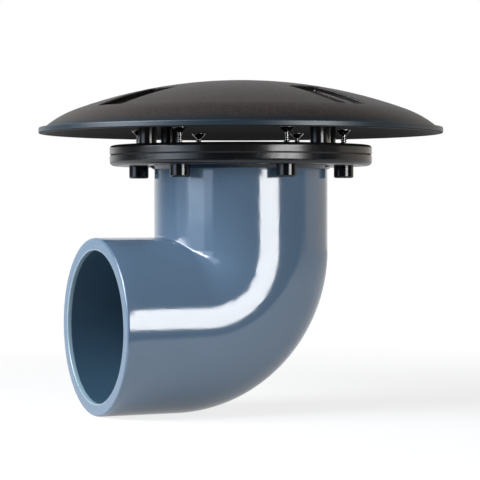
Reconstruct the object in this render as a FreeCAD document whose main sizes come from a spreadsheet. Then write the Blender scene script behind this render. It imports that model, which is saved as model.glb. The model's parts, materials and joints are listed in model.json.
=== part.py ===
import FreeCAD, Part

import enum
import math
import os

import Sketcher

# Pond bottom drain: a domed lid over a bolted pair of rings on a 90 degree pipe elbow.
# The origin is on the drain's axis at the underside of the lower flange, which seats on the pond floor.
# +Z is up, and the outlet points along -X. Lengths are millimetres, angles are degrees.

# Driving dimensions. Each one can be changed by itself.
SIZES = {
    # Elbow: its two pipe sockets and the bend between them
    "socket_radius": 55.15,
    "socket_wall": 9.35,
    "socket_depth": 61.0,
    "socket_step": 3.15,
    "centre_to_stop": 56.0,
    "bend_radius": 55.0,
    "lead_width": 1.0,
    "lead_depth": 1.6,
    "mouth_round": 2.2,
    # Lower flange: disc, spigot in the elbow's upper socket and lip around the elbow's end
    "flange_margin": 21.0,
    "flange_thickness": 7.4,
    "flange_round": 3.5,
    "spigot_clearance": 0.15,
    "spigot_wall": 5.5,
    "spigot_gap": 3.0,
    "spigot_lead": 2.0,
    "throat_round": 5.0,
    "lip_clearance": 0.3,
    "lip_edge": 0.8,
    "lip_width": 3.4,
    "lip_depth": 2.4,
    # Screw bosses under the flange
    "screw_count": 6,
    "screw_angle": 30.0,
    "boss_gap": 1.0,
    "boss_radius": 7.3,
    "boss_length": 9.1,
    "boss_round": 1.4,
    "boss_floor": 1.6,
    # Gasket and clamp ring
    "gasket_thickness": 1.2,
    "gasket_inset": 0.8,
    "ring_setback": 5.0,
    "ring_thickness": 6.6,
    "ring_round": 2.4,
    "ring_bore_round": 3.0,
    # Screws
    "screw_radius": 2.5,
    "screw_length": 22.0,
    "screw_grip": 2.6,
    "screw_clearance": 0.3,
    "thread_clearance": 0.05,
    "head_radius": 5.3,
    "head_rim": 0.5,
    "tip_chamfer": 0.8,
    "drive_width": 1.5,
    "drive_span": 5.2,
    "drive_depth": 1.7,
    # Lid: rim band, edge arc and crown
    "lid_gap": 8.8,
    "lid_radius": 150.0,
    "lid_wall": 3.5,
    "rim_height": 4.3,
    "rim_ledge": 4.1,
    "rim_round": 0.8,
    "edge_band": 27.0,
    "edge_drop": 13.3,
    "crown_rise": 21.8,
    # Legs of the lid and the recess over each of them
    "leg_count": 4,
    "leg_angle": 14.6,
    "leg_offset": 10.5,
    "leg_radius": 6.5,
    "peg_radius": 4.0,
    "peg_length": 4.0,
    "peg_clearance": 0.3,
    "recess_inward": 19.0,
    "recess_margin": 3.0,
    "recess_width": 28.5,
    "recess_depth": 5.0,
    "recess_corner": 3.5,
    "recess_edge_round": 0.8,
    "recess_floor_round": 2.0,
    "tray_wall": 3.0,
    "tray_sink": 2.2,
}

# Sizes and levels that follow from the driving ones.
FOLLOWING = {
    "elbow_radius": "=socket_radius + socket_wall",
    "elbow_leg": "=socket_depth + centre_to_stop",
    "bend_bore": "=socket_radius - socket_step",
    "spigot_radius": "=socket_radius - spigot_clearance",
    "spigot_length": "=socket_depth - spigot_gap",
    "throat_radius": "=spigot_radius - spigot_wall",
    "lip_radius": "=elbow_radius + lip_clearance",
    "screw_circle": "=lip_radius + lip_width + boss_gap + boss_radius",
    "flange_radius": "=screw_circle + flange_margin",
    "ring_bore": "=spigot_radius + ring_setback",
    "hole_radius": "=screw_radius + screw_clearance",
    "thread_radius": "=screw_radius + thread_clearance",
    "thread_depth": "=flange_thickness + boss_length - boss_floor",
    "ring_bottom": "=flange_thickness + gasket_thickness",
    "ring_top": "=ring_bottom + ring_thickness",
    "head_top": "=flange_thickness - screw_grip + screw_length",
    "head_cone": "=head_radius - screw_radius",
    "peg_hole": "=peg_radius + peg_clearance",
    "rim_bottom": "=ring_top + lid_gap",
    "rim_top": "=rim_bottom + rim_height",
    "crown_edge_level": "=rim_top + edge_drop",
    "lid_top": "=crown_edge_level + crown_rise",
    "foot_radius": "=lid_radius - rim_ledge",
    "crown_edge": "=lid_radius - edge_band",
    "crown_radius": "=(crown_edge ^ 2 + crown_rise ^ 2) / (2 * crown_rise)",
    "crown_centre": "=lid_top - crown_radius",
    "crown_slope": "=asin(crown_edge / crown_radius)",
    "edge_slope": "=atan(edge_drop / (foot_radius - crown_edge))",
    "edge_chord": "=sqrt((foot_radius - crown_edge) ^ 2 + edge_drop ^ 2)",
    "edge_radius": "=edge_chord / (2 * sin(edge_slope - crown_slope))",
    "edge_centre_across": "=crown_edge * (1 - edge_radius / crown_radius)",
    "edge_centre_level": "=crown_edge_level - edge_radius * cos(crown_slope)",
    "leg_circle": "=screw_circle + leg_offset",
    "recess_inner": "=leg_circle - recess_inward",
    "recess_outer": "=crown_edge - recess_margin",
    "floor_inner": "=crown_centre + sqrt(crown_radius ^ 2 - recess_inner ^ 2) - recess_depth",
    "floor_outer": "=crown_centre + sqrt(crown_radius ^ 2 - recess_outer ^ 2) - recess_depth",
    "floor_fall": "=(floor_inner - floor_outer) / (recess_outer - recess_inner)",
    "floor_tilt": "=atan(floor_fall)",
    "recess_length": "=(recess_outer - recess_inner) / cos(floor_tilt)",
    "leg_top": "=floor_inner - floor_fall * recess_inward",
}

doc = FreeCAD.newDocument("pond_bottom_drain")
sheet = doc.addObject("Spreadsheet::Sheet", "sizes")
for row, (alias, value) in enumerate({**SIZES, **FOLLOWING}.items(), start=1):
    sheet.set(f"A{row}", alias)
    sheet.set(f"B{row}", str(value))
    sheet.setAlias(f"B{row}", alias)
doc.recompute()

UPWARD = FreeCAD.Vector(0, 0, 1)
OUTLET_AXIS = FreeCAD.Vector(1, 0, 0)


class PointOf(enum.IntEnum):
    """How a sketch numbers the points of a line, an arc or one of its axes."""

    START = 1
    END = 2
    CENTRE = 3


class SketchAxis(enum.IntEnum):
    """How a sketch numbers its own two axes, which start at its origin."""

    ACROSS = -1
    UP = -2


START, END, CENTRE = PointOf
ORIGIN_POINT = (SketchAxis.ACROSS, START)


def size(alias):
    """The present value of a size in the sheet."""
    return float(sheet.get(alias))


def bound(text):
    """The expression with every size's name turned into a reference to the sheet."""
    words = []
    for word in text.split():
        words.append(f"sizes.{word}" if word in SIZES or word in FOLLOWING else word)
    return " ".join(words)


def new_body(label, turn=None):
    """A sub-part of the drain, turned about the drain's axis by the named angle."""
    body = doc.addObject("PartDesign::Body", label)
    body.Label = label
    if turn:
        body.Placement = FreeCAD.Placement(FreeCAD.Vector(), FreeCAD.Rotation(UPWARD, size(turn)))
        body.setExpression("Placement.Rotation.Angle", bound(turn))
    return body


def new_sketch(body, name, role, shift=()):
    """A sketch on one of the body's own origin planes, shifted in the plane's own directions."""
    plane = next(item for item in body.Origin.OriginFeatures if item.Role == role)
    sketch = body.newObject("Sketcher::SketchObject", name)
    sketch.AttachmentSupport = (plane, [""])
    sketch.MapMode = "FlatFace"
    for direction, text in shift:
        sketch.setExpression(f"AttachmentOffset.Base.{direction}", bound(text))
    return sketch


def hold(sketch, kind, places, drawn, text):
    """One dimension of a sketch, first as drawn and then bound to the sheet."""
    index = sketch.addConstraint(Sketcher.Constraint(kind, *places, drawn))
    sketch.setExpression(f"Constraints[{index}]", bound(text))


def hold_radius(sketch, index, text):
    """Holds the radius of a circle or arc of a sketch."""
    hold(sketch, "Radius", (index,), sketch.Geometry[index].Radius, text)


def hold_across(sketch, place, text):
    """Holds how far a point lies across from the sketch's origin."""
    hold(sketch, "DistanceX", ORIGIN_POINT + place, sketch.getPoint(*place).x, text)


def hold_up(sketch, place, text):
    """Holds how far a point lies up from the sketch's origin."""
    hold(sketch, "DistanceY", ORIGIN_POINT + place, sketch.getPoint(*place).y, text)


def hold_point(sketch, place, across, up):
    """Holds a point of a sketch both ways from the sketch's origin."""
    hold_across(sketch, place, across)
    hold_up(sketch, place, up)


def outline(sketch, corners):
    """A closed outline of straight edges through corners given as pairs of expressions."""
    count = len(corners)
    for index in range(count):
        start = FreeCAD.Vector(index, index % 2, 0)
        end = FreeCAD.Vector(index + 1, (index + 1) % 2, 0)
        sketch.addGeometry(Part.LineSegment(start, end))
    for index in range(count):
        sketch.addConstraint(Sketcher.Constraint("Coincident", index, END, (index + 1) % count, START))
    for index, (across, up) in enumerate(corners):
        hold_point(sketch, (index, START), across, up)


def circle(sketch, radius, across="0", up="0"):
    """A circle of a radius about a point of the sketch, all given as expressions."""
    index = sketch.addGeometry(Part.Circle(FreeCAD.Vector(1, 1, 0), UPWARD, 1.0))
    hold_radius(sketch, index, radius)
    hold_point(sketch, (index, CENTRE), across, up)


def rounded_rectangle(sketch, length, width, corner):
    """A rectangle about the sketch's origin, with its corners rounded to a radius."""
    radius = size(corner)
    across = size(length) / 2 - radius
    up = size(width) / 2 - radius
    quarter = math.pi / 2
    arcs, lines = [], []
    for index, (side, end) in enumerate(((1, 1), (-1, 1), (-1, -1), (1, -1))):
        full = Part.Circle(FreeCAD.Vector(side * across, end * up, 0), UPWARD, radius)
        arcs.append(sketch.addGeometry(Part.ArcOfCircle(full, index * quarter, (index + 1) * quarter)))
    pairs = list(zip(arcs, arcs[1:] + arcs[:1]))
    for arc, next_arc in pairs:
        side = Part.LineSegment(sketch.getPoint(arc, END), sketch.getPoint(next_arc, START))
        lines.append(sketch.addGeometry(side))
    for line, (arc, next_arc) in zip(lines, pairs):
        sketch.addConstraint(Sketcher.Constraint("Tangent", arc, END, line, START))
        sketch.addConstraint(Sketcher.Constraint("Tangent", line, END, next_arc, START))
    for line, direction in zip(lines, ("Horizontal", "Vertical", "Horizontal", "Vertical")):
        sketch.addConstraint(Sketcher.Constraint(direction, line))
    for arc in arcs[1:]:
        sketch.addConstraint(Sketcher.Constraint("Equal", arcs[0], arc))
    hold_radius(sketch, arcs[0], corner)
    hold_point(sketch, (arcs[0], CENTRE), f"{length} / 2 - {corner}", f"{width} / 2 - {corner}")
    hold_point(sketch, (arcs[2], CENTRE), f"{corner} - {length} / 2", f"{corner} - {width} / 2")


def turned(body, kind, name, sketch, axis="V_Axis", angle=360):
    """A Revolution or Groove of a sketch about one of the sketch's own axes."""
    feature = body.newObject(f"PartDesign::{kind}", name)
    feature.Profile = sketch
    feature.ReferenceAxis = (sketch, [axis])
    feature.Angle = angle
    doc.recompute()
    return feature


def pushed(body, kind, name, sketch, length, reverse=False, both_ways=False):
    """A Pad or Pocket of a sketch over a length."""
    feature = body.newObject(f"PartDesign::{kind}", name)
    feature.Profile = sketch
    feature.setExpression("Length", bound(length))
    feature.Reversed = reverse
    if both_ways:
        feature.SideType = "Symmetric"
    doc.recompute()
    return feature


def repeated(body, name, originals, count):
    """Copies of features spread evenly about the drain's axis."""
    axis = next(item for item in body.Origin.OriginFeatures if item.Role == "Z_Axis")
    pattern = body.newObject("PartDesign::PolarPattern", name)
    pattern.Originals = originals
    pattern.Axis = (axis, [""])
    pattern.Angle = 360
    pattern.setExpression("Occurrences", bound(count))
    body.Tip = pattern
    doc.recompute()


def dressed(body, kind, name, edges, amount):
    """A Fillet or Chamfer on the named edges of the body as it stands."""
    base = body.Tip
    feature = body.newObject(f"PartDesign::{kind}", name)
    feature.Base = (base, edges)
    feature.setExpression("Radius" if kind == "Fillet" else "Size", bound(amount))
    body.Tip = feature
    doc.recompute()


def ring_edges(body, radius, level, axis=UPWARD):
    """Names of the body's circular edges of a radius that lie square to an axis, at a level along it."""
    slack = 1e-4
    names = []
    for index, edge in enumerate(body.Tip.Shape.Edges, start=1):
        if edge.Degenerated or not isinstance(edge.Curve, Part.Circle):
            continue
        ring = edge.Curve
        square = ring.Axis.cross(axis).Length < slack
        if square and abs(ring.Radius - radius) < slack and abs(ring.Center.dot(axis) - level) < slack:
            names.append(f"Edge{index}")
    return names


def edge_names(body, edges):
    """Names that the given edges have in the body as it stands."""
    numbered = enumerate(body.Tip.Shape.Edges, start=1)
    return [f"Edge{index}" for index, edge in numbered if any(edge.isSame(each) for each in edges)]


# Elbow
elbow = new_body("elbow")


def elbow_legs(kind, name, radius, reach):
    """Both straight legs of the elbow, as solid rods or as bores, from their ends to the bend."""
    upright = new_sketch(elbow, f"{name}_upright_outline", "XY_Plane")
    circle(upright, radius)
    pushed(elbow, kind, f"{name}_upright", upright, reach, reverse=(kind == "Pad"))
    outlet_end = [("z", "- elbow_leg"), ("y", "- elbow_leg")]
    level = new_sketch(elbow, f"{name}_level_outline", "YZ_Plane", outlet_end)
    circle(level, radius)
    pushed(elbow, kind, f"{name}_level", level, reach, reverse=(kind == "Pocket"))


def elbow_bend(kind, name, radius):
    """The quarter turn between the legs.

    Its section is the part of the pipe's circle that lies outside the axis of the bend: where the bend is
    tighter than the pipe, the legs meet in a crease on the inner side.
    """
    shift = [("x", "- bend_radius"), ("z", "bend_radius - elbow_leg")]
    section = new_sketch(elbow, f"{name}_section", "XY_Plane", shift)
    if size(radius) < size("bend_radius"):
        circle(section, radius, across="bend_radius")
    else:
        middle = FreeCAD.Vector(size("bend_radius"), 0, 0)
        full = Part.Circle(middle, UPWARD, size(radius))
        half_chord = (size(radius) ** 2 - size("bend_radius") ** 2) ** 0.5
        low = FreeCAD.Vector(0, -half_chord, 0)
        high = FreeCAD.Vector(0, half_chord, 0)
        last = full.parameter(high) + 2 * math.pi
        arc = section.addGeometry(Part.ArcOfCircle(full, full.parameter(low), last))
        chord = section.addGeometry(Part.LineSegment(high, low))
        section.addConstraint(Sketcher.Constraint("Coincident", arc, END, chord, START))
        section.addConstraint(Sketcher.Constraint("Coincident", chord, END, arc, START))
        section.addConstraint(Sketcher.Constraint("PointOnObject", chord, START, SketchAxis.UP))
        section.addConstraint(Sketcher.Constraint("PointOnObject", chord, END, SketchAxis.UP))
        hold_radius(section, arc, radius)
        hold_point(section, (arc, CENTRE), "bend_radius", "0")
    turned(elbow, kind, name, section, angle=90)


elbow_legs("Pad", "leg", "elbow_radius", "elbow_leg - bend_radius")
elbow_bend("Revolution", "bend", "elbow_radius")
elbow_legs("Pocket", "leg_bore", "bend_bore", "elbow_leg - bend_radius")
elbow_bend("Groove", "bend_bore", "bend_bore")

upper_socket = new_sketch(elbow, "upper_socket_section", "XZ_Plane")
outline(upper_socket, [
    ("0", "0"),
    ("socket_radius + lead_width", "0"),
    ("socket_radius", "- lead_depth"),
    ("socket_radius", "- socket_depth"),
    ("0", "- socket_depth"),
])
turned(elbow, "Groove", "upper_socket", upper_socket)
outlet_shift = [("x", "- elbow_leg"), ("y", "- elbow_leg")]
outlet_socket = new_sketch(elbow, "outlet_socket_section", "XZ_Plane", outlet_shift)
outline(outlet_socket, [
    ("0", "0"),
    ("0", "socket_radius + lead_width"),
    ("lead_depth", "socket_radius"),
    ("socket_depth", "socket_radius"),
    ("socket_depth", "0"),
])
turned(elbow, "Groove", "outlet_socket", outlet_socket, axis="H_Axis")
mouth_edges = ring_edges(elbow, size("elbow_radius"), 0)
mouth_edges += ring_edges(elbow, size("elbow_radius"), -size("elbow_leg"), OUTLET_AXIS)
dressed(elbow, "Fillet", "mouth_rounding", mouth_edges, "mouth_round")

# Lower flange, with its spigot, locating lip and blind screw bosses
lower_flange = new_body("lower_flange", "screw_angle")
flange_section = new_sketch(lower_flange, "flange_section", "XZ_Plane")
outline(flange_section, [
    ("throat_radius", "- spigot_length"),
    ("spigot_radius", "- spigot_length"),
    ("spigot_radius", "0"),
    ("lip_radius", "0"),
    ("lip_radius", "- lip_depth"),
    ("lip_radius + lip_edge", "- lip_depth"),
    ("lip_radius + lip_width", "0"),
    ("flange_radius", "0"),
    ("flange_radius", "flange_thickness"),
    ("throat_radius", "flange_thickness"),
])
turned(lower_flange, "Revolution", "flange_disc", flange_section)
boss_outline = new_sketch(lower_flange, "boss_outline", "XY_Plane")
circle(boss_outline, "boss_radius", across="screw_circle")
boss = pushed(lower_flange, "Pad", "boss", boss_outline, "boss_length", reverse=True)
thread_outline = new_sketch(lower_flange, "thread_outline", "XY_Plane", [("z", "flange_thickness")])
circle(thread_outline, "thread_radius", across="screw_circle")
thread_hole = pushed(lower_flange, "Pocket", "thread_hole", thread_outline, "thread_depth")
repeated(lower_flange, "bosses", [boss, thread_hole], "screw_count")
boss_ends = ring_edges(lower_flange, size("boss_radius"), -size("boss_length"))
dressed(lower_flange, "Fillet", "boss_rounding", boss_ends, "boss_round")
flange_foot = ring_edges(lower_flange, size("flange_radius"), 0)
dressed(lower_flange, "Fillet", "flange_rounding", flange_foot, "flange_round")
throat_entry = ring_edges(lower_flange, size("throat_radius"), size("flange_thickness"))
dressed(lower_flange, "Fillet", "throat_rounding", throat_entry, "throat_round")
spigot_end = ring_edges(lower_flange, size("spigot_radius"), -size("spigot_length"))
dressed(lower_flange, "Chamfer", "spigot_lead_in", spigot_end, "spigot_lead")

# Gasket between the two rings
liner_gasket = new_body("liner_gasket", "screw_angle")
gasket_outline = new_sketch(liner_gasket, "gasket_outline", "XY_Plane", [("z", "flange_thickness")])
circle(gasket_outline, "flange_radius - gasket_inset")
circle(gasket_outline, "ring_bore")
pushed(liner_gasket, "Pad", "gasket_sheet", gasket_outline, "gasket_thickness")
gasket_hole_outline = new_sketch(liner_gasket, "gasket_hole_outline", "XY_Plane", [("z", "ring_bottom")])
circle(gasket_hole_outline, "hole_radius", across="screw_circle")
gasket_hole = pushed(liner_gasket, "Pocket", "gasket_hole", gasket_hole_outline, "gasket_thickness")
repeated(liner_gasket, "gasket_holes", [gasket_hole], "screw_count")

# Clamp ring, with countersunk screw holes and blind sockets for the lid's legs
clamp_ring = new_body("clamp_ring", "screw_angle")
ring_outline = new_sketch(clamp_ring, "ring_outline", "XY_Plane", [("z", "ring_bottom")])
circle(ring_outline, "flange_radius")
circle(ring_outline, "ring_bore")
pushed(clamp_ring, "Pad", "ring_plate", ring_outline, "ring_thickness")
screw_hole_outline = new_sketch(clamp_ring, "screw_hole_outline", "XY_Plane", [("z", "ring_top")])
circle(screw_hole_outline, "hole_radius", across="screw_circle")
screw_hole = pushed(clamp_ring, "Pocket", "screw_hole", screw_hole_outline, "ring_thickness")
repeated(clamp_ring, "screw_holes", [screw_hole], "screw_count")
hole_mouths = ring_edges(clamp_ring, size("hole_radius"), size("ring_top"))
dressed(clamp_ring, "Chamfer", "countersinks", hole_mouths, "head_cone")
socket_outline = new_sketch(clamp_ring, "leg_socket_outline", "XY_Plane", [("z", "ring_top")])
socket_across = "leg_circle * cos( leg_angle - screw_angle )"
socket_up = "leg_circle * sin( leg_angle - screw_angle )"
circle(socket_outline, "peg_hole", across=socket_across, up=socket_up)
leg_socket = pushed(clamp_ring, "Pocket", "leg_socket", socket_outline, "peg_length + peg_clearance")
repeated(clamp_ring, "leg_sockets", [leg_socket], "leg_count")
ring_rim = ring_edges(clamp_ring, size("flange_radius"), size("ring_top"))
dressed(clamp_ring, "Fillet", "ring_rounding", ring_rim, "ring_round")
ring_mouth = ring_edges(clamp_ring, size("ring_bore"), size("ring_top"))
dressed(clamp_ring, "Fillet", "ring_bore_rounding", ring_mouth, "ring_bore_round")

# Six countersunk screws, partly driven
flange_screws = new_body("flange_screws", "screw_angle")
flange_screws.AllowCompound = True
screw_section = new_sketch(flange_screws, "screw_section", "XZ_Plane", [("x", "screw_circle")])
outline(screw_section, [
    ("0", "head_top"),
    ("head_radius", "head_top"),
    ("head_radius", "head_top - head_rim"),
    ("screw_radius", "head_top - head_rim - head_cone"),
    ("screw_radius", "head_top - screw_length + tip_chamfer"),
    ("screw_radius - tip_chamfer", "head_top - screw_length"),
    ("0", "head_top - screw_length"),
])
screw = turned(flange_screws, "Revolution", "screw", screw_section)
drive_shift = [("x", "screw_circle"), ("z", "head_top")]
drive_outline = new_sketch(flange_screws, "drive_outline", "XY_Plane", drive_shift)
near, far = "drive_width / 2", "drive_span / 2"
outline(drive_outline, [
    (far, near),
    (near, near),
    (near, far),
    (f"- {near}", far),
    (f"- {near}", near),
    (f"- {far}", near),
    (f"- {far}", f"- {near}"),
    (f"- {near}", f"- {near}"),
    (f"- {near}", f"- {far}"),
    (near, f"- {far}"),
    (near, f"- {near}"),
    (far, f"- {near}"),
])
drive = pushed(flange_screws, "Pocket", "drive", drive_outline, "drive_depth")
repeated(flange_screws, "screws", [screw, drive], "screw_count")

# Domed lid, with its legs and the moulded recess over each leg
dome_lid = new_body("dome_lid", "leg_angle")


def lid_section():
    """The lid's half section: a flat crown arc, a tighter edge arc and the rim band, with an even wall.

    It stands midway between two legs, so that the turned faces start and end clear of every recess.
    """
    sketch = new_sketch(dome_lid, "lid_section", "XZ_Plane")
    midway = FreeCAD.Rotation(FreeCAD.Vector(0, 1, 0), 180 / size("leg_count"))
    sketch.AttachmentOffset = FreeCAD.Placement(FreeCAD.Vector(), midway)
    sketch.setExpression("AttachmentOffset.Rotation.Angle", bound("180 / leg_count"))
    wall = size("lid_wall")
    crown = FreeCAD.Vector(0, size("crown_centre"), 0)
    edge = FreeCAD.Vector(size("edge_centre_across"), size("edge_centre_level"), 0)
    outer_joint = FreeCAD.Vector(size("crown_edge"), size("crown_edge_level"), 0)
    inner_joint = outer_joint + (crown - outer_joint).normalize() * wall
    apex = FreeCAD.Vector(0, size("lid_top"), 0)
    ceiling = FreeCAD.Vector(0, size("lid_top") - wall, 0)
    foot = FreeCAD.Vector(size("foot_radius"), size("rim_top"), 0)
    rise = size("rim_bottom") - edge.y
    reach = ((size("edge_radius") - wall) ** 2 - rise**2) ** 0.5
    lip = FreeCAD.Vector(edge.x + reach, size("rim_bottom"), 0)
    ledge = FreeCAD.Vector(size("lid_radius"), size("rim_top"), 0)
    base = FreeCAD.Vector(size("lid_radius"), size("rim_bottom"), 0)

    def arc(middle, start, end):
        """One arc of the section about a middle, run anticlockwise from its start to its end."""
        full = Part.Circle(middle, UPWARD, (start - middle).Length)
        return sketch.addGeometry(Part.ArcOfCircle(full, full.parameter(start), full.parameter(end)))

    crown_arc = arc(crown, outer_joint, apex)
    edge_arc = arc(edge, foot, outer_joint)
    ledge_line = sketch.addGeometry(Part.LineSegment(foot, ledge))
    band_line = sketch.addGeometry(Part.LineSegment(ledge, base))
    base_line = sketch.addGeometry(Part.LineSegment(base, lip))
    inner_edge_arc = arc(edge, lip, inner_joint)
    inner_crown_arc = arc(crown, inner_joint, ceiling)
    axis_line = sketch.addGeometry(Part.LineSegment(ceiling, apex))
    for first, second in (
        ((crown_arc, START), (edge_arc, END)),
        ((edge_arc, START), (ledge_line, START)),
        ((ledge_line, END), (band_line, START)),
        ((band_line, END), (base_line, START)),
        ((base_line, END), (inner_edge_arc, START)),
        ((inner_edge_arc, END), (inner_crown_arc, START)),
        ((inner_crown_arc, END), (axis_line, START)),
        ((axis_line, END), (crown_arc, END)),
        ((crown_arc, CENTRE), (inner_crown_arc, CENTRE)),
        ((edge_arc, CENTRE), (inner_edge_arc, CENTRE)),
    ):
        sketch.addConstraint(Sketcher.Constraint("Coincident", *first, *second))
    hold_point(sketch, (crown_arc, CENTRE), "0", "crown_centre")
    hold_point(sketch, (axis_line, END), "0", "lid_top")
    hold_point(sketch, (axis_line, START), "0", "lid_top - lid_wall")
    hold_point(sketch, (edge_arc, CENTRE), "edge_centre_across", "edge_centre_level")
    hold_across(sketch, (crown_arc, START), "crown_edge")
    hold_across(sketch, (edge_arc, START), "foot_radius")
    hold_point(sketch, (ledge_line, END), "lid_radius", "rim_top")
    hold_point(sketch, (band_line, END), "lid_radius", "rim_bottom")
    hold_up(sketch, (base_line, END), "rim_bottom")
    inner_across = "crown_edge * ( 1 - lid_wall / crown_radius )"
    hold_across(sketch, (inner_crown_arc, START), inner_across)
    return sketch


turned(dome_lid, "Revolution", "lid_shell", lid_section())
tray_section = new_sketch(dome_lid, "tray_section", "XZ_Plane")
outline(tray_section, [
    ("recess_inner - tray_wall", "floor_inner - tray_wall"),
    ("recess_outer + tray_wall", "floor_outer - tray_wall"),
    ("recess_outer + tray_wall", "floor_outer + recess_depth - tray_sink"),
    ("recess_inner - tray_wall", "floor_inner + recess_depth - tray_sink"),
])
tray = pushed(dome_lid, "Pad", "tray", tray_section, "recess_width + 2 * tray_wall", both_ways=True)
leg_outline = new_sketch(dome_lid, "leg_outline", "XY_Plane", [("z", "ring_top")])
circle(leg_outline, "leg_radius", across="leg_circle")
leg = pushed(dome_lid, "Pad", "leg", leg_outline, "leg_top - ring_top")
peg_outline = new_sketch(dome_lid, "peg_outline", "XY_Plane", [("z", "ring_top")])
circle(peg_outline, "peg_radius", across="leg_circle")
peg = pushed(dome_lid, "Pad", "peg", peg_outline, "peg_length", reverse=True)
recess_outline = new_sketch(dome_lid, "recess_outline", "XY_Plane", [
    ("x", "( recess_inner + recess_outer ) / 2"),
    ("z", "( floor_inner + floor_outer ) / 2"),
])
tilt = FreeCAD.Rotation(FreeCAD.Vector(0, 1, 0), size("floor_tilt"))
recess_outline.AttachmentOffset = FreeCAD.Placement(FreeCAD.Vector(), tilt)
recess_outline.setExpression("AttachmentOffset.Rotation.Angle", bound("floor_tilt"))
rounded_rectangle(recess_outline, "recess_length", "recess_width", "recess_corner")
recess = pushed(dome_lid, "Pocket", "recess", recess_outline, "crown_rise + edge_drop", reverse=True)
repeated(dome_lid, "legs_and_recesses", [tray, leg, peg, recess], "leg_count")


def recess_floors():
    """The recesses' floors: flat faces that, carried on, meet the axis where the floors' slope does."""
    slack = 1e-4
    axis_level = size("floor_inner") + size("floor_fall") * size("recess_inner")
    floors = []
    for face in dome_lid.Tip.Shape.Faces:
        if isinstance(face.Surface, Part.Plane):
            normal = face.Surface.Axis
            height = face.Surface.Position.dot(normal)
            if abs(normal.z) > slack and abs(height / normal.z - axis_level) < slack:
                floors.append(face)
    return floors


def recess_mouth_edges():
    """The edges where the recesses' walls meet the dome: each belongs to one wall and to no floor."""
    floors = recess_floors()
    floor_edges = [edge for face in floors for edge in face.Edges]
    wall_edges = []
    for face in dome_lid.Tip.Shape.Faces:
        is_floor = any(face.isSame(floor) for floor in floors)
        if not is_floor and any(edge.isSame(each) for edge in face.Edges for each in floor_edges):
            wall_edges += face.Edges
    mouths = []
    for edge in wall_edges:
        walls_met = sum(edge.isSame(each) for each in wall_edges)
        if walls_met == 1 and not any(edge.isSame(each) for each in floor_edges):
            mouths.append(edge)
    return mouths


mouth_names = edge_names(dome_lid, recess_mouth_edges())
dressed(dome_lid, "Fillet", "recess_edge_rounding", mouth_names, "recess_edge_round")
floor_names = edge_names(dome_lid, [edge for face in recess_floors() for edge in face.Edges])
dressed(dome_lid, "Fillet", "recess_floor_rounding", floor_names, "recess_floor_round")
rim_edges = ring_edges(dome_lid, size("lid_radius"), size("rim_top"))
rim_edges += ring_edges(dome_lid, size("lid_radius"), size("rim_bottom"))
dressed(dome_lid, "Fillet", "rim_rounding", rim_edges, "rim_round")

# Every feature is sound before anything is written
doc.recompute()
for item in doc.Objects:
    if "Invalid" in item.State or "Error" in item.State:
        raise RuntimeError(f"{item.Label} could not be made: {item.getStatusString()}")
os.makedirs("parts", exist_ok=True)
bodies = [elbow, lower_flange, liner_gasket, clamp_ring, flange_screws, dome_lid]
for body in bodies:
    if body.Shape.isNull() or not body.Shape.isValid():
        raise RuntimeError(f"{body.Label} has no sound shape")
for body in bodies:
    body.Shape.exportStep(f"parts/{body.Label}.step")
    print(body.Label, len(body.Shape.Solids), "solids", round(body.Shape.Volume), "mm3")
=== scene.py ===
import json
import math

import bmesh
import bpy
import numpy as np
from mathutils import Matrix, Vector


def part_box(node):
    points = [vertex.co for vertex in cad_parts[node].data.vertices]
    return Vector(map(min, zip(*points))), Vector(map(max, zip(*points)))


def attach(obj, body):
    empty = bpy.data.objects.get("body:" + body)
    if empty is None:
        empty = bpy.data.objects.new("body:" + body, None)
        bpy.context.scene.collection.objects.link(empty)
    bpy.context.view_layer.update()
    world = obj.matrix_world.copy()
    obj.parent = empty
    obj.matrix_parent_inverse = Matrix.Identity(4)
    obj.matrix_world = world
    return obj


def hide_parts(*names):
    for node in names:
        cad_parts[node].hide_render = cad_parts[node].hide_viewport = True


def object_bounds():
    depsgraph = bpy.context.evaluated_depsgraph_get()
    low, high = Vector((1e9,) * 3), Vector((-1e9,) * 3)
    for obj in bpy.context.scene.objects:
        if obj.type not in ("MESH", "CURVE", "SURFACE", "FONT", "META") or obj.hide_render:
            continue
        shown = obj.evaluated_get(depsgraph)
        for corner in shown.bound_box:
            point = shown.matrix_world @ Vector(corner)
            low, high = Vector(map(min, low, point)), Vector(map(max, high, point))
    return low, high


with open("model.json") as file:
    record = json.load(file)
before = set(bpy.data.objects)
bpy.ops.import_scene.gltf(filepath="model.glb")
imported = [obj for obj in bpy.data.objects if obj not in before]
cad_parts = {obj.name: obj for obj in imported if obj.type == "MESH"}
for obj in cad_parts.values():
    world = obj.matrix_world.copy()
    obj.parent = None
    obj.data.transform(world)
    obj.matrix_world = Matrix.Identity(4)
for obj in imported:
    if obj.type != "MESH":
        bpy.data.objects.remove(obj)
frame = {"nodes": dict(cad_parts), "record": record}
nodes = frame["nodes"]
cad_low, cad_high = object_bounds()

# Elbow: one injection moulding in blue-grey PVC, two pipe sockets and the tight quarter turn between them.
# Its skin is glossy from the mould. Its ends are faced square and scraped to a short lead-in, where pipes
# are glued in.
elbow_low, elbow_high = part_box("elbow")
outlet_mount = next(mount for mount in frame["record"]["mounts"] if mount["name"] == "outlet_socket")
pipe_radius = elbow_high.y
outlet_end = elbow_low.x
outlet_level = elbow_low.z + pipe_radius
socket_radius = outlet_mount["dims"]["r_mm"] / 1000
socket_depth = 0.061
socket_step = 0.00315
bore_radius = socket_radius - socket_step
bend_radius = 0.055
crease_fillet = 0.0013
crease_spread = 0.0012
mouth_round = 0.0018
lead_width = 0.0004
lead_depth = 0.0032
lead_round = 0.0009
fine_edge = 0.0003
straight_from = 0.012
leg_steps = 8
outer_steps = 49
inner_steps = 33
ring_points = 288
around = np.linspace(0, 2 * np.pi, ring_points, endpoint=False)
lead_core_side = 0.5
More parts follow.
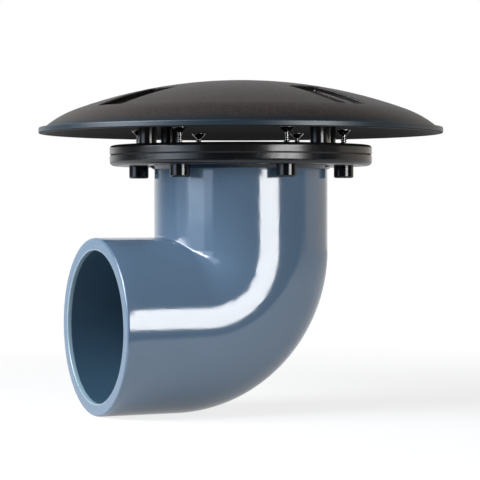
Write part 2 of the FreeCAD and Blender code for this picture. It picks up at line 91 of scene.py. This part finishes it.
face_core_side = 0.75
face_cut_and_lit = 0.16
pvc_dark = (0.076, 0.119, 0.177)
pvc_pale = (0.087, 0.136, 0.200)
pvc_gloss = (0.07, 0.14)
pvc_index = 1.72
# The bore's colour is darker than the skin: painted shade inside the bore.
bore_painted_shade = (0.029, 0.066, 0.104)
bore_roughness = 0.4
# Paler where an end is cut. On the lead-in this colour is also painted light for its lit band.
cut_and_lit_colour = (0.235, 0.325, 0.375)
ripple_depth = 0.00010
streak_waves = (220.0, 60.0, 1.0)
streak_depth = 0.000018


def eased(corners, steps=5):
    """A profile through corners (radius, depth, ease), rounded at each corner inside its two ends.

    A rounding is the parabola (1-t)^2 p + 2t(1-t) c + t^2 q, where p and q lie an ease away from corner c.
    """
    points = np.array([corner[:2] for corner in corners], float)
    t = np.linspace(0, 1, steps)[:, None]
    runs = [points[:1]]
    for before, here, after, corner in zip(points, points[1:], points[2:], corners[1:]):
        p = here + (before - here) * corner[2] / np.linalg.norm(before - here)
        q = here + (after - here) * corner[2] / np.linalg.norm(after - here)
        runs.append((1 - t) ** 2 * p + 2 * t * (1 - t) * here + t**2 * q)
    runs.append(points[-1:])
    return np.concatenate(runs)


def pipe_lines(radius, fillet, spread):
    """The pipe's lines of one radius: how far each lies across and aside, and the radius of its turn.

    The turn's radius is bend + across, but not under the fillet f. It is a smooth maximum of the two,
    f + (u + hypot(u, s)) / 2, where u is bend + across - f and s is the spread of the blend.
    """
    across = radius * np.cos(around)
    over = bend_radius + across - fillet
    return across, radius * np.sin(around), fillet + (over + np.hypot(over, spread)) / 2


def turn_rings(radius, fillet, spread, shares):
    """Rings over the quarter turn: each line follows a circle about a centre one turn radius out from it."""
    across, aside, turn = pipe_lines(radius, fillet, spread)
    angle = np.asarray(shares)[:, None] * np.pi / 2
    x = across - turn + turn * np.cos(angle)
    z = outlet_level - across + turn - turn * np.sin(angle)
    return np.stack([x, np.broadcast_to(aside, x.shape), z], -1)


def end_rings(profile, at_mouth):
    """Rings of a profile (radius, depth) at the mouth or the upper end, in line with those of the turn."""
    radius, depth = profile[:, :1], profile[:, 1:]
    across, aside = radius * np.cos(around), radius * np.sin(around)
    if at_mouth:
        return np.stack([outlet_end + depth + 0 * across, aside, outlet_level - across], -1)
    return np.stack([across, aside, elbow_high.z - depth + 0 * across], -1)


def between(first, last, count):
    """Rings spaced evenly on straight lines from one ring to another, without those two."""
    share = np.linspace(0, 1, count + 2)[1:-1, None, None]
    return first + share * (last - first)


def ring_quads(count, columns, wrap):
    """Quads between neighbouring rings of points and, where they wrap, from the last ring to the first."""
    index = np.arange(count * columns).reshape(count, columns)
    upper = index if wrap else index[:-1]
    lower = np.roll(index, -1, 0) if wrap else index[1:]
    quads = np.stack([upper, lower, np.roll(lower, -1, 1), np.roll(upper, -1, 1)], -1)
    return quads.reshape(-1, 4)


def skin_mesh(name, rings):
    """A skin over rings of points, closed around each ring and from the last ring to the first.

    Its map runs once around each ring and, in metres, along the mean line from ring to ring.
    """
    count, columns = rings.shape[:2]
    mesh = bpy.data.meshes.new(name)
    mesh.from_pydata(rings.reshape(-1, 3).tolist(), [], ring_quads(count, columns, wrap=True).tolist())
    steps = np.linalg.norm(np.roll(rings, -1, 0) - rings, axis=-1).mean(1)
    along = np.concatenate([[0], np.cumsum(steps)])
    row, column = np.meshgrid(np.arange(count), np.arange(columns), indexing="ij")
    u = np.stack([column, column, column + 1, column + 1], -1) / columns
    v = np.stack([along[row], along[row + 1], along[row + 1], along[row]], -1)
    layer = mesh.uv_layers.new(name="Skin")
    layer.uv.foreach_set("vector", np.stack([u, v], -1).astype(np.float32).ravel())
    mesh.shade_smooth()
    return mesh


def new_piece(mesh, body, slot, *replaced):
    """A piece of the drain from a finished mesh: it rides on a body and stands for the nodes named."""
    piece = bpy.data.objects.new(mesh.name, mesh)
    bpy.context.scene.collection.objects.link(piece)
    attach(piece, body)
    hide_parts(*replaced)


def wire(tree, kind, inputs, **settings):
    """A shader node of a kind, with its settings, its plain socket values and its links from other nodes."""
    made = tree.nodes.new(kind)
    for key, value in settings.items():
        setattr(made, key, value)
    for key, value in inputs.items():
        if isinstance(value, bpy.types.NodeSocket):
            tree.links.new(value, made.inputs[key])
        else:
            made.inputs[key].default_value = value
    return made


def noise(tree, place, scale, detail=2.0, roughness=0.5):
    """Fractal noise over a place, with its scale in waves for each metre, from about 0.3 to 0.7."""
    inputs = {"Vector": place, "Scale": scale, "Detail": detail, "Roughness": roughness}
    return wire(tree, "ShaderNodeTexNoise", inputs).outputs["Fac"]


def spread_over(tree, value, low, high, noise_low=0.3, noise_high=0.7):
    """A noise's middle range carried over to values from low to high."""
    inputs = {"Value": value, "From Min": noise_low, "From Max": noise_high, "To Min": low, "To Max": high}
    return wire(tree, "ShaderNodeMapRange", inputs).outputs["Result"]


def ramp(tree, value, first, last, low=0.0, high=1.0):
    """A smooth step from low to high as a value goes from first to last."""
    inputs = {"Value": value, "From Min": first, "From Max": last, "To Min": low, "To Max": high}
    return wire(tree, "ShaderNodeMapRange", inputs, interpolation_type="SMOOTHSTEP").outputs["Result"]


def maths(tree, operation, first, second):
    """One number from two, by a named operation."""
    return wire(tree, "ShaderNodeMath", {0: first, 1: second}, operation=operation).outputs["Value"]


def part_along(tree, vector, way):
    """How far a vector goes along a way of length 1."""
    return wire(tree, "ShaderNodeVectorMath", {0: vector, 1: way}, operation="DOT_PRODUCT").outputs["Value"]


def upward_part(tree, vector):
    """How far a vector goes up."""
    return wire(tree, "ShaderNodeSeparateXYZ", {"Vector": vector}).outputs["Z"]


def reach_from_axis(tree, place):
    """How far a place lies from the drain's axis."""
    flat = wire(tree, "ShaderNodeVectorMath", {0: place, 1: (1.0, 1.0, 0.0)}, operation="MULTIPLY")
    length = wire(tree, "ShaderNodeVectorMath", {0: flat.outputs["Vector"]}, operation="LENGTH")
    return length.outputs["Value"]


def chosen(tree, factor, first, last):
    """A number between two, by a factor."""
    return wire(tree, "ShaderNodeMix", {0: factor, 2: first, 3: last}).outputs[0]


def tinted(tree, factor, first, last):
    """A colour between two, by a factor. Each of them is three numbers or comes from another node."""
    inputs = {0: factor}
    for socket, colour in ((6, first), (7, last)):
        inputs[socket] = colour if isinstance(colour, bpy.types.NodeSocket) else (*colour, 1.0)
    return wire(tree, "ShaderNodeMix", inputs, data_type="RGBA").outputs[2]


def raised(tree, height, depth, under=None):
    """A bump of a depth in metres from a height of 0 to 1, on top of another bump where one is given."""
    inputs = {"Height": height, "Distance": depth, "Strength": 1.0}
    if under is not None:
        inputs["Normal"] = under
    return wire(tree, "ShaderNodeBump", inputs).outputs["Normal"]


def new_finish(name):
    """A new material, with its node tree, its shader and the place of each point on the piece."""
    material = bpy.data.materials.new(name)
    material.use_nodes = True
    tree = material.node_tree
    place = wire(tree, "ShaderNodeTexCoord", {}).outputs["Object"]
    return material, tree, tree.nodes["Principled BSDF"], place


def pvc_finish(name):
    """Blue-grey PVC: a little cloudy in colour, softly rippled by the mould, with fine streaks in its gloss.

    The core side, inside the bore, is duller, and its colour there is darkened as painted shade. Where an
    end is cut, fully on its lead-in and lightly on its face, the plastic is paler: partly the cut plastic,
    and on the lead-in also painted light for its lit band.
    """
    material, tree, shader, place = new_finish(name)
    core_side_and_shade = wire(tree, "ShaderNodeAttribute", {}, attribute_name="core_side_and_shade").outputs["Fac"]
    cut_and_lit_edge = wire(tree, "ShaderNodeAttribute", {}, attribute_name="cut_and_lit_edge").outputs["Fac"]
    clouds = noise(tree, place, scale=14.0, detail=3.0)
    skin_colour = tinted(tree, clouds, pvc_dark, pvc_pale)
    # Painted shade: on the core side inside the bore the colour darkens to the bore's colour.
    bore_shade_share = wire(tree, "ShaderNodeMapRange", {"Value": core_side_and_shade, "From Min": face_core_side})
    colour_with_bore_shade = tinted(tree, bore_shade_share.outputs["Result"], skin_colour, bore_painted_shade)
    # Paler colour on the cut ends: cut plastic, and on the lead-in also painted light.
    tree.links.new(tinted(tree, cut_and_lit_edge, colour_with_bore_shade, cut_and_lit_colour), shader.inputs["Base Color"])
    smears = noise(tree, place, scale=160.0, detail=4.0)
    gloss = spread_over(tree, smears, *pvc_gloss)
    tree.links.new(chosen(tree, core_side_and_shade, gloss, bore_roughness), shader.inputs["Roughness"])
    skin_map = wire(tree, "ShaderNodeUVMap", {}, uv_map="Skin").outputs["UV"]
    streak_place = wire(tree, "ShaderNodeMapping", {"Vector": skin_map, "Scale": streak_waves})
    streaks = noise(tree, streak_place.outputs["Vector"], scale=1.0, detail=3.0)
    ripples = raised(tree, noise(tree, place, scale=38.0), ripple_depth)
    tree.links.new(raised(tree, streaks, streak_depth, ripples), shader.inputs["Normal"])
    shader.inputs["IOR"].default_value = pvc_index
    return material


end_profile = eased([
    (pipe_radius, straight_from, 0),
    (pipe_radius, 0, mouth_round),
    (socket_radius + lead_width, 0, lead_round),
    (socket_radius, lead_depth, lead_round),
    (socket_radius, socket_depth, fine_edge),
    (bore_radius, socket_depth, fine_edge),
    (bore_radius, socket_depth + 2 * fine_edge, 0),
])
outer_turn = turn_rings(pipe_radius, crease_fillet, crease_spread, np.linspace(0, 1, outer_steps))
inner_turn = turn_rings(bore_radius, 0, 0, np.linspace(1, 0, inner_steps))
mouth_rings = end_rings(end_profile, at_mouth=True)
upper_rings = end_rings(end_profile[::-1], at_mouth=False)
elbow_rings = np.concatenate([
    outer_turn,
    between(outer_turn[-1], mouth_rings[0], leg_steps),
    mouth_rings,
    inner_turn,
    upper_rings,
    between(upper_rings[-1], outer_turn[0], leg_steps),
])
on_face = end_profile[:, 1] == 0
on_outside = end_profile[:, 0] > pipe_radius - mouth_round
on_lead = ~on_face & ~on_outside & (end_profile[:, 1] < lead_depth)
end_kinds = [on_face, on_outside, on_lead]
# A value of 1, inside the bore, also brings the bore's painted shade.
end_dullness_and_shade = np.select(end_kinds, [face_core_side, 0.0, lead_core_side], 1.0)
# On the lead-in the paler colour is partly painted light.
end_cut_and_lit = np.select(end_kinds, [face_cut_and_lit, 0.0, 1.0], 0.0)
elbow_mesh = skin_mesh("elbow_moulding", elbow_rings)
for name, at_end, in_bore in (("core_side_and_shade", end_dullness_and_shade, 1.0), ("cut_and_lit_edge", end_cut_and_lit, 0.0)):
    ring_values = np.concatenate([
        np.zeros(len(outer_turn) + leg_steps),
        at_end,
        np.full(len(inner_turn), in_bore),
        at_end[::-1],
        np.zeros(leg_steps),
    ])
    layer = elbow_mesh.attributes.new(name, "FLOAT", "POINT")
    layer.data.foreach_set("value", np.repeat(ring_values, ring_points).astype(np.float32))
elbow_mesh.materials.append(pvc_finish("moulded_pvc"))
new_piece(elbow_mesh, "drain", "grey_pvc", "elbow")

# Lower flange: a black moulding that beds on the pond floor, with a spigot glued into the elbow, a lip that
# locates on the elbow's end and six blind bosses for the screws. Its skin is semi-gloss, with faint turned
# lines from the mould.
flange_black = (0.004, 0.0045, 0.0058)
flange_gloss = (0.20, 0.28)
plastic_index = 1.5
cloud_spread = 0.2
underside_level = -0.0002
polished_share = 0.5
turned_line_depth = 0.00004
moulded_grain_depth = 0.00001


def flange_finish(name, black, gloss):
    """Black semi-gloss plastic: fine circular lines about the drain's axis and small changes of gloss.

    Below the flange, on its bosses and lip, the mould was polished and the gloss is twice as sharp.
    """
    material, tree, shader, place = new_finish(name)
    clouds = noise(tree, place, scale=60.0, detail=3.0)
    darker = [(1 - cloud_spread) * channel for channel in black]
    paler = [(1 + cloud_spread) * channel for channel in black]
    tree.links.new(tinted(tree, clouds, darker, paler), shader.inputs["Base Color"])
    smears = noise(tree, place, scale=240.0, detail=4.0)
    plain = spread_over(tree, smears, *gloss)
    level = upward_part(tree, place)
    below = maths(tree, "LESS_THAN", level, underside_level)
    polished = maths(tree, "MULTIPLY", plain, polished_share)
    tree.links.new(chosen(tree, below, plain, polished), shader.inputs["Roughness"])
    reach = reach_from_axis(tree, place)
    ring_place = wire(tree, "ShaderNodeCombineXYZ", {"X": reach, "Y": level}).outputs["Vector"]
    lines = raised(tree, noise(tree, ring_place, scale=900.0), turned_line_depth)
    grain = raised(tree, noise(tree, place, scale=1800.0), moulded_grain_depth, lines)
    tree.links.new(grain, shader.inputs["Normal"])
    shader.inputs["IOR"].default_value = plastic_index
    return material


nodes["lower_flange"].data.materials[0] = flange_finish("flange_plastic", flange_black, flange_gloss)

# Gasket: a ring cut from a thin sheet of black rubber, laid between the flange and the clamp ring. The
# screws press it against the pond liner.
rubber_dark = (0.012, 0.012, 0.012)
rubber_pale = (0.022, 0.022, 0.022)
rubber_roughness = (0.7, 0.9)
rubber_grain_depth = 0.00004


def rubber_finish(name):
    """Matt black rubber with a fine powdery grain."""
    material, tree, shader, place = new_finish(name)
    clouds = noise(tree, place, scale=120.0, detail=4.0)
    tree.links.new(tinted(tree, clouds, rubber_dark, rubber_pale), shader.inputs["Base Color"])
    tree.links.new(spread_over(tree, clouds, *rubber_roughness), shader.inputs["Roughness"])
    grain = raised(tree, noise(tree, place, scale=2500.0), rubber_grain_depth)
    tree.links.new(grain, shader.inputs["Normal"])
    return material


nodes["liner_gasket"].data.materials[0] = rubber_finish("gasket_rubber")

# Clamp ring: the upper black ring that the screws pull down on the liner, countersunk for their heads and
# with blind sockets for the lid's legs. It is the same plastic as the flange, from another mould.
ring_black = (0.0085, 0.0085, 0.009)
ring_gloss = (0.18, 0.26)
nodes["clamp_ring"].data.materials[0] = flange_finish("ring_plastic", ring_black, ring_gloss)

# Screws: six countersunk self-tapping screws in stainless steel, left standing partly driven. Each has a
# coarse rolled thread, a cone under its head and a tapered cross recess.
screws_low, screws_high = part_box("flange_screws")
screw_count = 6
screw_start = math.radians(30.0)
screw_turn = 2.3
screw_circle = 0.0765
screw_radius = 0.0025
thread_core = 0.0018
thread_pitch = 0.0016
thread_end = 0.0046
thread_step = thread_pitch / 14
ridge_power = 1.5
tip_taper = 0.45
head_radius = 0.0053
head_rim = 0.0005
head_flat = 0.7
neck_ease = 0.0004
rim_ease = 0.00012
drive_reach = 0.68
drive_steps = 22
drive_span = 0.0026
drive_half_width = 0.00075
drive_depth = 0.0017
slot_steepness = 2
pole_radius = 1e-6
merge_distance = 5 * pole_radius
screw_points = 32
screw_around = np.linspace(0, 2 * np.pi, screw_points, endpoint=False)
steel_dark = (0.42, 0.41, 0.40)
steel_pale = (0.58, 0.57, 0.56)
steel_gloss = (0.18, 0.32)


def threaded_rings(levels):
    """Rings of a rolled thread: a rounded ridge stands on the core and climbs one pitch a turn.

    With the phase p = level / pitch - angle / (2 pi), the ridge's height is a power of max(0, cos(2 pi p)).
    It grows from the tapered tip over one pitch and runs out under the head over half a pitch.
    """
    phase = levels[:, None] / thread_pitch - screw_around / (2 * np.pi)
    ridge = np.clip(np.cos(2 * np.pi * phase), 0, 1) ** ridge_power
    tip_share = np.clip((levels - screws_low.z) / thread_pitch, 0, 1)[:, None]
    end_share = np.clip(2 * (levels[-1] - levels) / thread_pitch, 0, 1)[:, None]
    height = (screw_radius - thread_core) * ridge * tip_share * end_share
    radius = thread_core * (1 - tip_taper * (1 - tip_share)) + height
    x, y = radius * np.cos(screw_around), radius * np.sin(screw_around)
    return np.stack([x, y, np.broadcast_to(levels[:, None], x.shape)], -1)


def turned_rings(profile):
    """Rings of a profile (radius, level) turned about the screw's own axis."""
    radius, level = profile[:, :1], profile[:, 1:]
    x, y = radius * np.cos(screw_around), radius * np.sin(screw_around)
    return np.stack([x, y, np.broadcast_to(level, x.shape)], -1)


def drive_rings(radii):
    """Rings of the head's top: a cross of four tapered slots, deepest at the middle and sloping up outwards.

    The depth is the larger of the two slots', each falling off linearly along it and steeply over its sides.
    """
    x = radii[:, None] * np.cos(screw_around)
    y = radii[:, None] * np.sin(screw_around)
    slots = []
    for along, aside in ((x, y), (y, x)):
        length_share = np.clip(1 - np.abs(along) / drive_span, 0, 1)
        side_share = np.clip(slot_steepness * (1 - np.abs(aside) / drive_half_width), 0, 1)
        slots.append(length_share * side_share)
    depth = drive_depth * np.maximum(*slots)
    return np.stack([x, y, screws_high.z - depth], -1)


thread_levels = np.arange(screws_low.z, screws_high.z - thread_end, thread_step)
cone_foot = screws_high.z - head_rim - (head_radius - thread_core)
head_profile = eased([
    (thread_core, thread_levels[-1] + thread_step, 0),
    (thread_core, cone_foot, neck_ease),
    (head_radius, screws_high.z - head_rim, rim_ease),
    (head_radius, screws_high.z, rim_ease),
    (head_radius * head_flat, screws_high.z, 0),
])
screw_rings = np.concatenate([
    turned_rings(np.array([[pole_radius, screws_low.z]])),
    threaded_rings(thread_levels),
    turned_rings(head_profile),
    drive_rings(np.linspace(head_radius * drive_reach, pole_radius, drive_steps)),
])[::-1]
screw_angles = screw_start + np.arange(screw_count) * 2 * np.pi / screw_count


def screw_set(name):
    """All the screws in one mesh: the skin of one, turned each time and moved out to its own place.

    The tiny rings at each screw's tip and in its recess are then merged to one point, which closes the skin.
    """
    skin = screw_rings.reshape(-1, 3)
    quads = ring_quads(*screw_rings.shape[:2], wrap=False)
    points = []
    for number, angle in enumerate(screw_angles):
        turn = np.array(Matrix.Rotation(screw_turn * number, 3, "Z"))
        centre = screw_circle * np.array([math.cos(angle), math.sin(angle), 0])
        points.append(skin @ turn.T + centre)
    faces = quads + len(skin) * np.arange(screw_count)[:, None, None]
    mesh = bpy.data.meshes.new(name)
    mesh.from_pydata(np.concatenate(points).tolist(), [], faces.reshape(-1, 4).tolist())
    closed = bmesh.new()
    closed.from_mesh(mesh)
    bmesh.ops.remove_doubles(closed, verts=closed.verts, dist=merge_distance)
    closed.to_mesh(mesh)
    closed.free()
    mesh.shade_smooth()
    return mesh


def steel_finish(name):
    """Plain stainless steel, a little cloudy in its colour and its gloss."""
    material, tree, shader, place = new_finish(name)
    clouds = noise(tree, place, scale=500.0, detail=4.0)
    tree.links.new(tinted(tree, clouds, steel_dark, steel_pale), shader.inputs["Base Color"])
    tree.links.new(spread_over(tree, clouds, *steel_gloss), shader.inputs["Roughness"])
    shader.inputs["Metallic"].default_value = 1.0
    return material


screws_mesh = screw_set("screw_set")
screws_mesh.materials.append(steel_finish("screw_steel"))
new_piece(screws_mesh, "drain", "screw_steel", "flange_screws")

# Lid: one black moulding, a dome with a rim band and four recesses that run down into its legs. The dome's
# top is finely grained by the mould, the rim band and the legs are polished and the underside is dull.
rim_top = 0.0283
rim_inside = 0.140
rim_fade = 0.006
level_margin = 0.0002
facing_up_from = 0.02
facing_down_from = -0.3
grain_dark = (0.0070, 0.0050, 0.0042)
grain_pale = (0.0400, 0.0295, 0.0248)
lid_grain_depth = 0.00012
# The dome's foot is darker and bluish: a painted reflection.
dome_foot_reflection = (0.005, 0.010, 0.014)
# The rim band's bluish colour is a painted reflection of daylight.
rim_reflection_dark = (0.007, 0.016, 0.025)
rim_reflection_pale = (0.011, 0.022, 0.032)
plain_dark = (0.006, 0.0055, 0.0055)
plain_pale = (0.010, 0.009, 0.009)
dome_roughness = 0.5
rim_roughness = 0.36
wall_roughness = 0.14
under_roughness = 0.5
dome_specular = 0.42
smooth_specular = 0.5
under_specular = 0.08


def lid_finish(name):
    """Black-brown plastic, with a fine raised grain where the dome faces up above the rim.

    The rim band and the dome's foot are bluish: a painted reflection of daylight. The legs and the recesses'
    walls are plain black.
    """
    material, tree, shader, place = new_finish(name)
    level = upward_part(tree, place)
    upward = upward_part(tree, wire(tree, "ShaderNodeNewGeometry", {}).outputs["Normal"])
    above = maths(tree, "GREATER_THAN", level, rim_top - level_margin)
    facing_up = maths(tree, "GREATER_THAN", upward, facing_up_from)
    grained = maths(tree, "MULTIPLY", above, facing_up)
    under = maths(tree, "LESS_THAN", upward, facing_down_from)
    inside = maths(tree, "LESS_THAN", reach_from_axis(tree, place), rim_inside)
    speckle = noise(tree, place, scale=560.0, detail=3.0, roughness=0.6)
    grain_colour = tinted(tree, spread_over(tree, speckle, 0.0, 1.0), grain_dark, grain_pale)
    # Painted bluish reflection on the dome's foot and on the rim band.
    up_from_rim = ramp(tree, level, rim_top, rim_top + rim_fade)
    dome_colour = tinted(tree, up_from_rim, dome_foot_reflection, grain_colour)
    clouds = noise(tree, place, scale=30.0, detail=3.0)
    rim_reflection_colour = tinted(tree, clouds, rim_reflection_dark, rim_reflection_pale)
    plain_colour = tinted(tree, clouds, plain_dark, plain_pale)
    smooth_colour = tinted(tree, maths(tree, "MAXIMUM", under, inside), rim_reflection_colour, plain_colour)
    tree.links.new(tinted(tree, grained, smooth_colour, dome_colour), shader.inputs["Base Color"])
    wall_gloss = chosen(tree, inside, rim_roughness, wall_roughness)
    smooth_gloss = chosen(tree, under, wall_gloss, under_roughness)
    tree.links.new(chosen(tree, grained, smooth_gloss, dome_roughness), shader.inputs["Roughness"])
    smooth_shine = chosen(tree, under, smooth_specular, under_specular)
    shine = chosen(tree, grained, smooth_shine, dome_specular)
    tree.links.new(shine, shader.inputs["Specular IOR Level"])
    height = maths(tree, "MULTIPLY", speckle, grained)
    tree.links.new(raised(tree, height, lid_grain_depth), shader.inputs["Normal"])
    shader.inputs["IOR"].default_value = plastic_index
    return material


nodes["dome_lid"].data.materials[0] = lid_finish("lid_plastic")

# Camera: a long lens in front and to the left of the drain, a little under the level of its flange. Its
# place, turn and lens were fitted to the outlines of the lid, the rings, the upright and the mouth.
camera_place = Vector((-0.6467, -1.3692, -0.0320))
camera_heading = math.radians(-25.257)
camera_pitch = math.radians(-0.870)
camera_roll = math.radians(-0.07)
camera_lens = 152.43
camera_data = bpy.data.cameras.new("camera")
camera_data.lens = camera_lens
camera_data.sensor_width = 36.0
camera_data.clip_start = 0.05
camera_data.clip_end = 50.0
camera = bpy.data.objects.new("camera", camera_data)
bpy.context.scene.collection.objects.link(camera)
level_look = Matrix.Rotation(camera_heading, 4, "Z") @ Matrix.Rotation(math.pi / 2 + camera_pitch, 4, "X")
camera.matrix_world = Matrix.Translation(camera_place) @ level_look @ Matrix.Rotation(camera_roll, 4, "Z")
bpy.context.scene.camera = camera

# Lamps: a bright key softbox stands on the right of the camera, in four strips, each further right than the
# one under it. On the left, a large and a small pale softbox stand high among bluish windows and curtains.
aim = Vector((0.0, 0.0, -0.09))
lamp_distance = 1.2
daylight = (0.66, 0.80, 1.0)
pale_sky = (0.94, 0.97, 1.0)
white = (1.0, 1.0, 1.0)
key_radiance = 11.0
key_strips = (
    (-2.9, 8.0, 24.0, 49.4),
    (8.0, 12.2, 28.0, 52.0),
    (12.2, 16.5, 33.0, 54.0),
    (16.5, 20.7, 37.0, 56.0),
)


def softbox(name, azimuth, elevation, span, rise, radiance, colour):
    """A rectangular lamp that faces the drain, placed and sized in degrees, from the camera to its right."""
    bearing = camera_heading - math.pi / 2 + math.radians(azimuth)
    tilt = math.radians(elevation)
    out = Vector((math.cos(bearing) * math.cos(tilt), math.sin(bearing) * math.cos(tilt), math.sin(tilt)))
    lamp_data = bpy.data.lights.new(name, "AREA")
    lamp_data.shape = "RECTANGLE"
    lamp_data.size = 2 * lamp_distance * math.tan(math.radians(span / 2))
    lamp_data.size_y = 2 * lamp_distance * math.tan(math.radians(rise / 2))
    lamp_data.energy = radiance * math.pi * lamp_data.size * lamp_data.size_y
    lamp_data.color = colour
    lamp = bpy.data.objects.new(name, lamp_data)
    bpy.context.scene.collection.objects.link(lamp)
    facing_aim = out.to_track_quat("Z", "Y").to_matrix().to_4x4()
    lamp.matrix_world = Matrix.Translation(aim + out * lamp_distance) @ facing_aim


for low, high, left, right in key_strips:
    softbox("key_softbox", azimuth=(left + right) / 2, elevation=(low + high) / 2, span=right - left,
            rise=high - low, radiance=key_radiance, colour=white)
softbox("side_softbox", azimuth=-46.0, elevation=38.0, span=14.0, rise=14.0, radiance=10.0, colour=pale_sky)
softbox("top_curtain", azimuth=-36.0, elevation=45.0, span=30.0, rise=36.0, radiance=1.7, colour=daylight)
softbox("left_window", azimuth=-62.0, elevation=-3.0, span=28.0, rise=22.0, radiance=0.55, colour=daylight)
softbox("far_window", azimuth=-70.0, elevation=-3.0, span=44.0, rise=24.0, radiance=0.5, colour=daylight)
softbox("left_curtain", azimuth=-54.0, elevation=21.0, span=36.0, rise=38.0, radiance=1.9, colour=daylight)
softbox("high_softbox", azimuth=-69.5, elevation=28.0, span=34.0, rise=36.0, radiance=12.0, colour=pale_sky)

# Backdrop: white behind the drain, where the camera and the gloss show it, and a dim room around the camera,
# warm on the right. The room gives a little even light.
room_light = 0.10
dim_room = 0.03
warm_room = (0.70, 0.62, 0.53)
backdrop_front = (-0.02, 0.18)
backdrop_left = (-0.95, -0.50)
backdrop_top = (0.45, 0.80)
warm_side = (0.2, 0.6)


def ray_kinds(tree):
    """Whether a ray comes from the camera, and whether it shows the studio in a gloss or through glass."""
    path = wire(tree, "ShaderNodeLightPath", {})
    in_gloss = maths(tree, "MAXIMUM", path.outputs["Is Glossy Ray"], path.outputs["Is Transmission Ray"])
    return path.outputs["Is Camera Ray"], in_gloss


world = bpy.data.worlds.new("studio")
bpy.context.scene.world = world
world.use_nodes = True
world_tree = world.node_tree
world_tree.nodes.clear()
direction = wire(world_tree, "ShaderNodeTexCoord", {}).outputs["Generated"]
away = (-math.sin(camera_heading), math.cos(camera_heading), 0.0)
rightward = (math.cos(camera_heading), math.sin(camera_heading), 0.0)
behind = part_along(world_tree, direction, away)
aside = part_along(world_tree, direction, rightward)
upness = upward_part(world_tree, direction)
backdrop_depth = ramp(world_tree, behind, *backdrop_front)
backdrop_width = ramp(world_tree, aside, *backdrop_left)
backdrop_height = ramp(world_tree, upness, *backdrop_top, low=1.0, high=0.0)
backdrop_area = maths(world_tree, "MULTIPLY", backdrop_width, backdrop_height)
backdrop = maths(world_tree, "MULTIPLY", backdrop_depth, backdrop_area)
from_camera, in_gloss = ray_kinds(world_tree)
seen_in_gloss = chosen(world_tree, backdrop, dim_room, 1.0)
strength = chosen(world_tree, from_camera, chosen(world_tree, in_gloss, room_light, seen_in_gloss), 1.0)
warmth = maths(world_tree, "MULTIPLY", ramp(world_tree, aside, *warm_side), in_gloss)
sky_colour = tinted(world_tree, warmth, white, warm_room)
sky = wire(world_tree, "ShaderNodeBackground", {"Color": sky_colour, "Strength": strength})
wire(world_tree, "ShaderNodeOutputWorld", {"Surface": sky.outputs[0]})

# Table: a wide pale top under the elbow, which takes the drain's shadow. In the gloss it ends a short way in
# front of the drain, where the dim room begins, and to the camera it fades to white around the drain.
floor_half = 4.0
table_reach = 0.26
table_edge = 0.04
white_from = (0.25, 0.75)
glow_at_drain = 0.80
glow_in_gloss = 0.50
paint_seen = 0.85
paint_bounce = 0.52
paint_off_table = 0.03
floor_mesh = bpy.data.meshes.new("floor")
corner_signs = ((-1, -1), (1, -1), (1, 1), (-1, 1))
floor_corners = [(x * floor_half, y * floor_half, cad_low.z) for x, y in corner_signs]
floor_mesh.from_pydata(floor_corners, [], [(0, 1, 2, 3)])
floor = bpy.data.objects.new("floor", floor_mesh)
bpy.context.scene.collection.objects.link(floor)
floor_material = bpy.data.materials.new("pale_floor")
floor_material.use_nodes = True
floor_tree = floor_material.node_tree
floor_tree.nodes.clear()
floor_place = wire(floor_tree, "ShaderNodeTexCoord", {}).outputs["Object"]
floor_reach = reach_from_axis(floor_tree, floor_place)
floor_ahead = part_along(floor_tree, floor_place, away)
from_camera, in_gloss = ray_kinds(floor_tree)
camera_glow = ramp(floor_tree, floor_reach, *white_from, low=glow_at_drain, high=1.0)
on_table = ramp(floor_tree, floor_ahead, -table_reach - table_edge, -table_reach + table_edge)
table_glow = chosen(floor_tree, on_table, 0.0, glow_in_gloss)
glow = chosen(floor_tree, from_camera, chosen(floor_tree, in_gloss, 0.0, table_glow), camera_glow)
bounce = chosen(floor_tree, from_camera, paint_bounce, paint_seen)
gloss_paint = chosen(floor_tree, on_table, paint_off_table, paint_seen)
paint_value = chosen(floor_tree, in_gloss, bounce, gloss_paint)
paint_colour = wire(floor_tree, "ShaderNodeCombineColor", {0: paint_value, 1: paint_value, 2: paint_value})
floor_paint = wire(floor_tree, "ShaderNodeBsdfDiffuse", {"Color": paint_colour.outputs[0]})
floor_glow = wire(floor_tree, "ShaderNodeEmission", {"Color": (*white, 1.0), "Strength": 1.0})
floor_layers = {0: glow, 1: floor_paint.outputs[0], 2: floor_glow.outputs[0]}
floor_mix = wire(floor_tree, "ShaderNodeMixShader", floor_layers)
wire(floor_tree, "ShaderNodeOutputMaterial", {"Surface": floor_mix.outputs[0]})
floor_mesh.materials.append(floor_material)

bpy.context.scene.view_settings.view_transform = "Standard"
